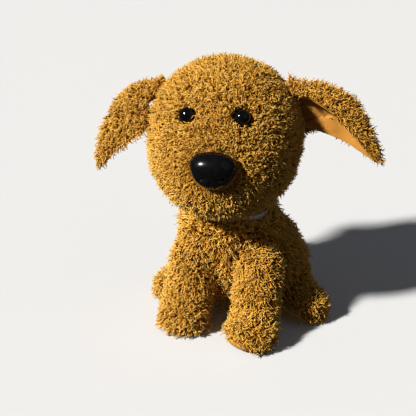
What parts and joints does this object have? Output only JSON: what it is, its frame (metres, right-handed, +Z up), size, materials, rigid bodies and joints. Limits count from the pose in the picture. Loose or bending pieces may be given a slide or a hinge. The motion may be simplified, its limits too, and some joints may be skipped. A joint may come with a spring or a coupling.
{
  "type": "plush dog",
  "caption": "Sitting plush puppy with long curly pile, floppy lined ears, plastic eyes and nose, a filled head, body, legs and tail, and a thin neck ribbon.",
  "frame": {"origin": "on the floor, at the flat seat under the middle of the body", "axes": "+Z up, the dog faces -Y, its left side is +X"},
  "size_m": [0.249, 0.2063, 0.241],
  "materials": {
    "plush": "long curly pile",
    "short_pile": "short brushed pile",
    "plastic": "moulded gloss",
    "washer": "moulded",
    "fibrefill": "loose polyester fibre",
    "pellet_bag": "woven bag of plastic pellets",
    "ribbon": "satin"
  },
  "bodies": {
    "torso": {"chest_panel": "plush", "back_panel_left": "plush", "back_panel_right": "plush", "seat_panel": "plush", "body_filling": "fibrefill", "pellet_bag": "pellet_bag", "neck_ribbon": "ribbon"},
    "neck": {"neck_filling": "fibrefill"},
    "head": {"muzzle_panel": "plush", "throat_panel": "plush", "head_gusset": "plush", "cheek_panel_left": "plush", "cheek_panel_right": "plush", "head_filling": "fibrefill", "eye_left": "plastic", "eye_right": "plastic", "eye_washer_left": "washer", "eye_washer_right": "washer", "nose": "plastic", "nose_washer": "washer"},
    "ear_left": {"ear_back_left": "plush", "ear_lining_left": "short_pile"},
    "ear_right": {"ear_back_right": "plush", "ear_lining_right": "short_pile"},
    "front_leg_left": {"front_leg_left_outer_panel": "plush", "front_leg_left_inner_panel": "plush", "front_leg_left_sole": "short_pile", "front_leg_left_filling": "fibrefill"},
    "front_leg_right": {"front_leg_right_outer_panel": "plush", "front_leg_right_inner_panel": "plush", "front_leg_right_sole": "short_pile", "front_leg_right_filling": "fibrefill"},
    "hind_leg_left": {"hind_leg_left_outer_panel": "plush", "hind_leg_left_inner_panel": "plush", "hind_leg_left_sole": "short_pile", "hind_leg_left_filling": "fibrefill"},
    "hind_leg_right": {"hind_leg_right_outer_panel": "plush", "hind_leg_right_inner_panel": "plush", "hind_leg_right_sole": "short_pile", "hind_leg_right_filling": "fibrefill"},
    "tail": {"tail_panel_left": "plush", "tail_panel_right": "plush", "tail_filling": "fibrefill"}
  },
  "joints": [
    {"name": "neck_turn", "type": "hinge", "parent": "torso", "child": "neck", "pos_m": [-0.009, -0.022, 0.172], "axis": [0, 0, 1], "range_deg": [-50, 50]},
    {"name": "head_nod", "type": "hinge", "parent": "neck", "child": "head", "pos_m": [-0.009, -0.022, 0.172], "axis": [0.9903, 0.1392, 0], "range_deg": [-20, 8]},
    {"name": "ear_left_lift", "type": "hinge", "parent": "head", "child": "ear_left", "pos_m": [0.04223, -0.00571, 0.224], "axis": [0.1392, -0.9903, 0], "range_deg": [-5, 45]},
    {"name": "ear_right_lift", "type": "hinge", "parent": "head", "child": "ear_right", "pos_m": [-0.06465, -0.02124, 0.2205], "axis": [-0.1392, 0.9903, 0], "range_deg": [-5, 45]},
    {"name": "front_leg_left_swing", "type": "hinge", "parent": "torso", "child": "front_leg_left", "pos_m": [0.029, -0.04, 0.058], "axis": [-1, 0, 0], "range_deg": [0, 60]},
    {"name": "front_leg_right_swing", "type": "hinge", "parent": "torso", "child": "front_leg_right", "pos_m": [-0.034, -0.04, 0.058], "axis": [-1, 0, 0], "range_deg": [0, 60]},
    {"name": "hind_leg_left_splay", "type": "hinge", "parent": "torso", "child": "hind_leg_left", "pos_m": [0.043, 0.012, 0.028], "axis": [0, 0, 1], "range_deg": [0, 40]},
    {"name": "hind_leg_right_splay", "type": "hinge", "parent": "torso", "child": "hind_leg_right", "pos_m": [-0.043, 0.012, 0.028], "axis": [0, 0, -1], "range_deg": [0, 40]},
    {"name": "tail_wag", "type": "hinge", "parent": "torso", "child": "tail", "pos_m": [0, 0.066, 0.028], "axis": [0, 0, 1], "range_deg": [-30, 30]}
  ]
}
